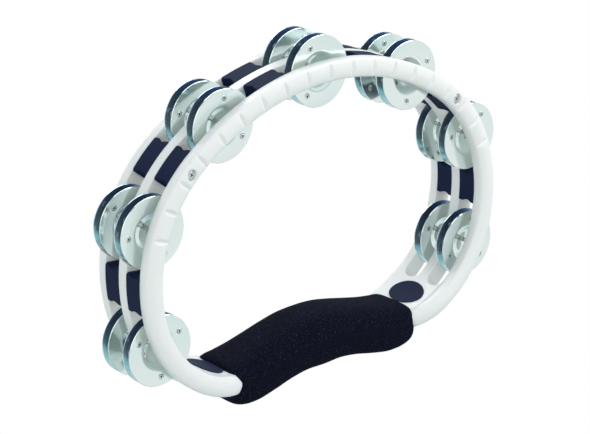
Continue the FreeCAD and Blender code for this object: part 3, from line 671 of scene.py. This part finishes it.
@dataclass
class Jingles:
    """Twenty-eight pressed dishes in back-to-back pairs on their pins."""

    materials: Materials
    pitch: float = 72.4 * MM
    drop: float = 1.4 * MM
    hole: float = 2.7 * MM
    floor: float = 6.5 * MM
    cup: float = 12.6 * MM
    rim: float = 21.0 * MM
    cup_depth: float = 1.9 * MM
    depth: float = 2.5 * MM
    gauge: float = 0.6 * MM
    half_gap: float = 0.1 * MM
    stud_at: float = 16.0 * MM
    stud_radius: float = 1.9 * MM
    stud_relief: float = 1.6 * MM
    stud_sink: float = 0.03 * MM
    stud_steps: int = 20
    studs: int = 3
    first_stud: float = 90.0
    turn_between: float = 37.0
    flange_power: float = 1.35
    hole_edge: float = 0.12 * MM
    lip: float = 0.15 * MM
    steps: int = 132
    smooth_degrees: float = 40.0

    # Share of a mark's radius and of its relief, from its rim to its middle.
    STUD_OUTLINE = ((1.0, 0.0), (0.97, 0.10), (0.90, 0.13), (0.84, 0.02), (0.72, -0.01),
                    (0.64, 0.10), (0.52, 0.19), (0.40, 0.18), (0.32, 0.06), (0.24, 0.03))
    # Shares of the radius between which a mark carries painted shade.
    PAINTED_SHADE_BANDS = ((0.0, 0.40), (0.63, 0.90))
    # Plain jingle steel, painted shade and reflection for the near faces, painted shade for the
    # marks.
    STEELS = ("jingle_steel", "jingle_near_painted_shade", "painted_shade_steel")

    def _height(self, radius: float) -> float:
        """Height of the near face above the cup's floor.

        Args:
            radius: Distance from the jingle's axis.

        Returns:
            Height away from the mate.
        """
        if radius <= self.floor:
            return 0.0
        if radius <= self.cup:
            part = (radius - self.floor) / (self.cup - self.floor)
            return self.cup_depth * part * part * (3.0 - 2.0 * part)
        part = (radius - self.cup) / (self.rim - self.cup)
        return self.cup_depth + (self.depth - self.cup_depth) * part ** self.flange_power

    def _profile(self) -> list[tuple[float, float]]:
        """Closed half section of a dish.

        Returns:
            Pairs (radius, height), along the near face, round the rim and back.
        """
        radii = [self.hole, self.hole + self.hole_edge]
        radii += evenly(self.hole, self.floor, 4)
        radii += evenly(self.floor, self.cup, 9)
        radii += evenly(self.cup, self.rim - self.lip, 19)
        near = [(r, self._height(r)) for r in radii]
        far = [(r, self._height(r) + self.gauge) for r in radii]
        edge = self.depth + self.gauge / 2
        lip = [(self.rim, edge - self.lip), (self.rim, edge + self.lip)]
        return near + lip + far[::-1]

    def _dish(self) -> bmesh.types.BMesh:
        """One dish about the Y axis with its near face towards -Y.

        Returns:
            Closed mesh, centred on the origin.
        """
        dish = bmesh.new()
        outline = [dish.verts.new((r, h + self.half_gap, 0.0)) for r, h in self._profile()]
        edges = [dish.edges.new(pair) for pair in zip(outline, outline[1:] + outline[:1])]
        bmesh.ops.spin(dish, geom=outline + edges, cent=(0, 0, 0), axis=(0, 1, 0),
                       angle=math.tau, steps=self.steps, use_merge=True, use_duplicate=False)
        for face in dish.faces:
            middle = face.calc_center_median()
            radius = math.hypot(middle.x, middle.z)
            halfway = self._height(radius) + self.half_gap + self.gauge / 2
            # Near faces outside the floor take the painted shade and reflection.
            face.material_index = int(middle.y < halfway and radius > self.floor)
        for number in range(self.studs):
            angle = math.radians(self.first_stud + 360.0 / self.studs * number)
            for away in (-1.0, 1.0):
                self._stud(dish, Vector((math.cos(angle), 0.0, math.sin(angle))), away)
        return dish

    def _stud(self, dish: bmesh.types.BMesh, towards: Vector, away: float) -> None:
        """Add one round crimp mark: a crease round a low dome whose middle dips, with painted
        shade in the crease and in the middle.

        Args:
            dish: The mesh that gets it.
            towards: Direction of the mark from the jingle's axis.
            away: 1 for the face away from the mate, -1 for the face towards it.
        """
        level = self._height(self.stud_at) + self.half_gap
        level += self.gauge if away > 0 else 0.0
        centre = towards * self.stud_at + Vector((0.0, level - self.stud_sink * away, 0.0))
        verts = [dish.verts.new(centre + towards * share * self.stud_radius
                                + Vector((0.0, rise * self.stud_relief * away, 0.0)))
                 for share, rise in self.STUD_OUTLINE]
        edges = [dish.edges.new(pair) for pair in zip(verts, verts[1:])]
        known = set(dish.faces)
        bmesh.ops.spin(dish, geom=verts + edges, cent=centre, axis=(0, 1, 0),
                       angle=math.tau, steps=self.stud_steps, use_merge=True,
                       use_duplicate=False)
        rims = [edge for edge in dish.edges if edge.is_boundary]
        caps = bmesh.ops.holes_fill(dish, edges=rims)["faces"]
        underside = max(caps, key=lambda cap: cap.calc_area())
        # The crease and the dipped middle take painted shade; the hidden cap underneath keeps
        # plain steel.
        dark = self.STEELS.index("painted_shade_steel")
        for face in set(dish.faces) - known:
            place = face.calc_center_median() - centre
            share = math.hypot(place.x, place.z) / self.stud_radius
            in_painted_shade = any(low <= share < high for low, high in self.PAINTED_SHADE_BANDS)
            face.material_index = dark if in_painted_shade and face != underside else 0

    def build(self) -> list[bpy.types.Object]:
        """Build every jingle in place of its node.

        Returns:
            The jingles.
        """
        dish = self._dish()
        made = []
        steels = [self.materials[finish] for finish in self.STEELS]
        for number in range(PAIRS_IN_ROW):
            middle, _ = OUTLINE.place((number - MIDDLE_PAIR) * self.pitch)
            for row, level in ROWS.items():
                for side in ("front", "rear"):
                    node = f"jingle_{row}_row_{number + 1}_{side}"
                    seed = number * 4 + (2 if row == "rear" else 0) + (side == "rear")
                    spun = Matrix.Rotation(math.radians(self.turn_between * seed), 4, "Y")
                    flip = Matrix.Rotation(0.0 if side == "rear" else math.pi, 4, "X")
                    place = Matrix.Translation((middle.x, level, middle.z - self.drop))
                    copy = dish.copy()
                    bmesh.ops.transform(copy, matrix=place @ flip @ spun, verts=copy.verts)
                    piece = new_piece(node + "_dish", copy, steels, self.smooth_degrees)
                    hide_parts(node)
                    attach(piece, node + "_body")
                    made.append(piece)
        dish.free()
        return made


@dataclass
class Grip:
    """Foam sleeve: an arched, rounded tube over the bar."""

    materials: Materials
    squareness: float = 3.0
    end_squareness: float = 4.0
    slip: float = -1.2 * MM
    lean: float = -0.009
    end_bulge: float = 0.7 * MM
    fill: float = 0.9
    columns: int = 150
    around: int = 72
    smooth_degrees: float = 60.0

    # Distance from the middle, underside, top and half depth, in millimetres.
    STATIONS = (
        (0.0, 6.7, 40.6, 20.0), (13.0, 7.1, 39.9, 20.0), (26.0, 5.4, 37.3, 20.0),
        (39.0, 2.3, 34.0, 20.0), (50.0, 0.2, 31.2, 20.0), (56.5, 0.1, 29.8, 19.9),
        (61.5, 0.8, 28.8, 19.8), (65.5, 2.1, 28.2, 19.6), (68.2, 3.7, 27.5, 19.1),
        (69.9, 5.8, 26.5, 18.3), (70.9, 8.2, 24.9, 16.9), (71.4, 10.8, 22.4, 14.9),
    )

    def _measure(self, x: float, column: int) -> float:
        """One measure of the sleeve at a distance from its middle.

        Args:
            x: Distance from the middle of the grip.
            column: 1 for the underside, 2 for the top, 3 for the half depth.

        Returns:
            The measure in metres, along a smooth curve through the stations.
        """
        away = abs(x) / MM
        mirrored = (-self.STATIONS[1][0], *self.STATIONS[1][1:])
        rows = (mirrored,) + self.STATIONS + (self.STATIONS[-1],)
        number = sum(1 for row in self.STATIONS[1:-1] if row[0] < away)
        before, start, stop, after = rows[number:number + 4]
        span = stop[0] - start[0]
        part = min(max((away - start[0]) / span, 0.0), 1.0)
        first = (stop[column] - before[column]) / max(stop[0] - before[0], TINY) * span
        last = (after[column] - start[column]) / max(after[0] - start[0], TINY) * span
        square, cube = part ** 2, part ** 3
        return ((2 * cube - 3 * square + 1) * start[column] + (cube - 2 * square + part) * first
                + (3 * square - 2 * cube) * stop[column] + (cube - square) * last) * MM

    def build(self) -> list[bpy.types.Object]:
        """Build the sleeve in place of its node.

        Returns:
            The sleeve.
        """
        skin = bmesh.new()
        rings = []
        reach = self.STATIONS[-1][0] * MM
        for column in range(self.columns + 1):
            x = -math.cos(math.pi * column / self.columns) * reach
            growth = (self.end_squareness - self.squareness) * (x / reach) ** 4
            power = 2.0 / (self.squareness + growth)
            low, high, half_y = (self._measure(x, number) for number in (1, 2, 3))
            ring = []
            for step in range(self.around):
                angle = math.tau * step / self.around
                cosine, sine = math.cos(angle), math.sin(angle)
                y = math.copysign(abs(cosine) ** power, cosine) * half_y
                z = math.copysign(abs(sine) ** power, sine) * (high - low) / 2
                level = (high + low) / 2 + z + self.lean * x
                ring.append(Vector((x + self.slip, y, level)))
            rings.append(ring_of(skin, ring))
        for end, side in zip(loft(skin, rings), (-1, 1)):
            tips = bmesh.ops.poke(skin, faces=[end], center_mode="MEAN")["verts"]
            bmesh.ops.translate(skin, verts=tips, vec=(side * self.end_bulge, 0.0, 0.0))
        sleeve = new_piece("grip_foam_skin", skin, [self.materials["grip_foam"]],
                           self.smooth_degrees)
        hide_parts("grip_sleeve")
        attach(sleeve, ROOT_BODY)
        return [sleeve]


@dataclass
class Screws:
    """Two pan-head screws with cross recesses, deep in their counterbores; the recess walls
    carry painted shade.
    """

    materials: Materials
    seat: float = -20.0 * MM
    head: float = 2.8 * MM
    head_height: float = 2.5 * MM
    recess: float = 1.7 * MM
    recess_width: float = 0.6 * MM
    recess_depth: float = 1.4 * MM
    recess_narrowing: float = 0.55
    recess_turn: float = 28.0
    overcut: float = 0.5 * MM
    edge_share: float = 0.35
    shank: float = 1.5 * MM
    shank_length: float = 38.5 * MM
    length: float = 40.0 * MM
    screw_at: float = 108.6 * MM
    dome_steps: int = 6
    steps: int = 40
    smooth_degrees: float = 40.0

    def _head(self, centre: Vector) -> bmesh.types.BMesh:
        """Turned screw with a domed head towards -Y.

        Args:
            centre: Middle of the seat under the head.

        Returns:
            Closed mesh in place.
        """
        turned = bmesh.new()
        outline = [(0.0, -self.head_height)]
        for angle in evenly(0.0, math.pi / 2, self.dome_steps):
            share = self.edge_share + (1.0 - self.edge_share) * math.cos(angle)
            outline.append((self.head * math.sin(angle), -self.head_height * share))
        outline += [(self.head, 0.0), (self.shank, 0.0), (self.shank, self.shank_length),
                    (0.0, self.length)]
        verts = [turned.verts.new((r, y, 0.0)) for r, y in outline]
        edges = [turned.edges.new(pair) for pair in zip(verts, verts[1:])]
        bmesh.ops.spin(turned, geom=verts + edges, cent=(0, 0, 0), axis=(0, 1, 0),
                       angle=math.tau, steps=self.steps, use_merge=True,
                       use_duplicate=False)
        bmesh.ops.remove_doubles(turned, verts=turned.verts, dist=TINY)
        bmesh.ops.transform(turned, matrix=Matrix.Translation(centre), verts=turned.verts)
        return turned

    def _cross(self, centre: Vector) -> bmesh.types.BMesh:
        """Cross-shaped cutter that narrows towards its bottom; the recess walls it leaves take
        the painted shade steel.

        Args:
            centre: Middle of the seat under the head.

        Returns:
            Closed mesh of the cutter, its arms turned a little from upright.
        """
        cross = bmesh.new()
        half = self.recess_width / 2
        outline = []
        for quarter in range(4):
            angle = math.pi / 2 * quarter + math.radians(self.recess_turn)
            turned = Matrix.Rotation(angle, 3, "Y")
            for x, z in ((half, half), (self.recess, half), (self.recess, -half)):
                outline.append(turned @ Vector((x, 0.0, z)))
        top = centre + Vector((0.0, -self.head_height - self.overcut, 0.0))
        bottom = centre + Vector((0.0, self.recess_depth - self.head_height, 0.0))
        loft(cross, [ring_of(cross, [top + spot for spot in outline]),
                     ring_of(cross, [bottom + spot * self.recess_narrowing
                                     for spot in outline])])
        # Second slot: painted shade on the recess walls.
        for face in cross.faces:
            face.material_index = 1
        return cross

    def build(self) -> list[bpy.types.Object]:
        """Build both screws in place of their nodes.

        Returns:
            The screws.
        """
        made = []
        for name, side in (("left", -1), ("right", 1)):
            middle, _ = OUTLINE.place(side * self.screw_at)
            centre = Vector((middle.x, self.seat, middle.z))
            # Second material: painted shade for the cross recess.
            piece = new_piece(f"screw_{name}_turned", self._head(centre),
                              [self.materials["screw_steel"],
                               self.materials["painted_shade_steel"]], self.smooth_degrees)
            carve(piece, self._cross(centre))
            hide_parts(f"frame_screw_{name}")
            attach(piece, ROOT_BODY)
            made.append(piece)
        return made


@dataclass
class CarriedNodes:
    """Nodes that show as they are, each with its material."""

    materials: Materials
    nodes: dict[str, bpy.types.Object]

    # Finish of every node whose name starts so.
    FINISHES = {"frame_body": "shell_white", "spacer": "insert_navy",
                "limb_plate": "plate_navy", "jingle_pin": "pin_steel"}

    def build(self) -> list[bpy.types.Object]:
        """Dress the moulding, the inserts, the plates and the pins.

        Returns:
            The dressed nodes.
        """
        dressed = []
        for name, node in self.nodes.items():
            for start, finish in self.FINISHES.items():
                if name.startswith(start):
                    node.data.materials.clear()
                    node.data.materials.append(self.materials[finish])
                    dressed.append(node)
        return dressed


@dataclass
class Studio:
    """White room, lamps and camera."""

    azimuth: float = -39.60
    elevation: float = 20.85
    roll: float = -1.22
    distance: float = 1088.66 * MM
    shift_right: float = 11.91 * MM
    shift_up: float = 82.51 * MM
    lens: float = 117.13
    origin: tuple[float, float, float] = (0.0, -9.9 * MM, 189.9 * MM)
    sensor: float = 36.0
    nearest: float = 0.01
    strength: float = 0.84
    aim: tuple[float, float, float] = (0.0, 0.0, 0.11)

    # Colours of the room from straight below to straight above.
    ROOM_STOPS = ((0.0, (0.05, 0.08, 0.12)), (0.06, (0.20, 0.34, 0.42)),
                  (0.17, (0.80, 0.92, 0.91)), (0.40, (1.0, 1.0, 1.0)),
                  (0.50, (0.52, 0.68, 0.72)), (0.56, (0.92, 0.97, 0.97)),
                  (0.74, (0.86, 0.91, 0.92)), (0.84, (0.26, 0.38, 0.48)),
                  (1.0, (1.0, 1.0, 1.0)))
    # Name, place, length of the sides and power in watts.
    LAMPS = (("key", (0.75, -0.55, 0.95), 0.7, 6.6), ("fill", (-0.9, -0.7, 0.5), 0.9, 1.8),
             ("rim", (0.2, 0.9, 0.9), 0.8, 4.6))

    def _world(self) -> None:
        """White for the camera; a soft room with darker sides for light and reflections."""
        world = bpy.data.worlds.new("room")
        bpy.context.scene.world = world
        world.use_nodes = True
        tree = world.node_tree
        tree.nodes.clear()
        output = tree.nodes.new("ShaderNodeOutputWorld")
        room = tree.nodes.new("ShaderNodeBackground")
        plain = tree.nodes.new("ShaderNodeBackground")
        plain.inputs["Color"].default_value = (1.0, 1.0, 1.0, 1.0)
        plain.inputs["Strength"].default_value = 1.0
        mix = tree.nodes.new("ShaderNodeMixShader")
        path = tree.nodes.new("ShaderNodeLightPath")
        coordinates = tree.nodes.new("ShaderNodeTexCoord")
        split = tree.nodes.new("ShaderNodeSeparateXYZ")
        ramp = tree.nodes.new("ShaderNodeValToRGB")
        shift = tree.nodes.new("ShaderNodeMapRange")
        shift.inputs["From Min"].default_value = -1.0
        shift.inputs["From Max"].default_value = 1.0
        tree.links.new(coordinates.outputs["Generated"], split.inputs["Vector"])
        tree.links.new(split.outputs["Z"], shift.inputs["Value"])
        tree.links.new(shift.outputs["Result"], ramp.inputs["Fac"])
        for _ in self.ROOM_STOPS[2:]:
            ramp.color_ramp.elements.new(0.5)
        for element, (position, colour) in zip(ramp.color_ramp.elements, self.ROOM_STOPS):
            element.position = position
            element.color = colour + (1.0,)
        tree.links.new(ramp.outputs["Color"], room.inputs["Color"])
        room.inputs["Strength"].default_value = self.strength
        tree.links.new(path.outputs["Is Camera Ray"], mix.inputs["Fac"])
        tree.links.new(room.outputs["Background"], mix.inputs[1])
        tree.links.new(plain.outputs["Background"], mix.inputs[2])
        tree.links.new(mix.outputs["Shader"], output.inputs["Surface"])

    @staticmethod
    def _lamp(name: str, place: tuple[float, float, float], aim: tuple[float, float, float],
              size: float, power: float) -> None:
        """Add a square area lamp.

        Args:
            name: Name of the lamp.
            place: Where it stands.
            aim: The point it faces.
            size: Length of its sides.
            power: Power in watts.
        """
        data = bpy.data.lights.new(name, "AREA")
        data.size = size
        data.energy = power
        lamp = bpy.data.objects.new(name, data)
        facing = Vector(aim) - Vector(place)
        turned = facing.to_track_quat("-Z", "Y").to_matrix().to_4x4()
        lamp.matrix_world = Matrix.Translation(place) @ turned
        bpy.context.scene.collection.objects.link(lamp)

    def _camera(self) -> None:
        """Camera that looks down on the front from the left."""
        azimuth = math.radians(self.azimuth)
        elevation = math.radians(self.elevation)
        back = Vector((math.sin(azimuth) * math.cos(elevation),
                       -math.cos(azimuth) * math.cos(elevation), math.sin(elevation)))
        forward = -back
        right = forward.cross(Vector((0.0, 0.0, 1.0))).normalized()
        up = right.cross(forward)
        turned = math.radians(self.roll)
        right_rolled = right * math.cos(turned) + up * math.sin(turned)
        up_rolled = up * math.cos(turned) - right * math.sin(turned)
        place = (back * self.distance - right_rolled * self.shift_right
                 - up_rolled * self.shift_up + Vector(self.origin))
        data = bpy.data.cameras.new("camera")
        data.lens = self.lens
        data.sensor_width = self.sensor
        data.clip_start = self.nearest
        camera = bpy.data.objects.new("camera", data)
        axes = Matrix((right_rolled, up_rolled, back)).transposed().to_4x4()
        camera.matrix_world = Matrix.Translation(place) @ axes
        bpy.context.scene.collection.objects.link(camera)
        bpy.context.scene.camera = camera

    def build(self) -> None:
        """Set the room, the lamps, the camera and the view transform."""
        self._world()
        for name, place, size, power in self.LAMPS:
            self._lamp(name, place, self.aim, size, power)
        self._camera()
        bpy.context.scene.view_settings.view_transform = "Standard"


def main() -> None:
    """Build the scene over the solids."""
    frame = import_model()
    materials = Materials(ShaderGroups())
    parts = (
        ("carried nodes", CarriedNodes(materials, frame["nodes"])),
        ("front ring", FrontRing(materials)),
        ("jingles", Jingles(materials)),
        ("grip", Grip(materials)),
        ("screws", Screws(materials)),
    )
    for label, part in parts:
        for piece in part.build():
            LOGGER.info("%s: %s", label, piece.name)
    Studio().build()


if __name__ == "__main__":
    logging.basicConfig(level=logging.INFO)
    main()
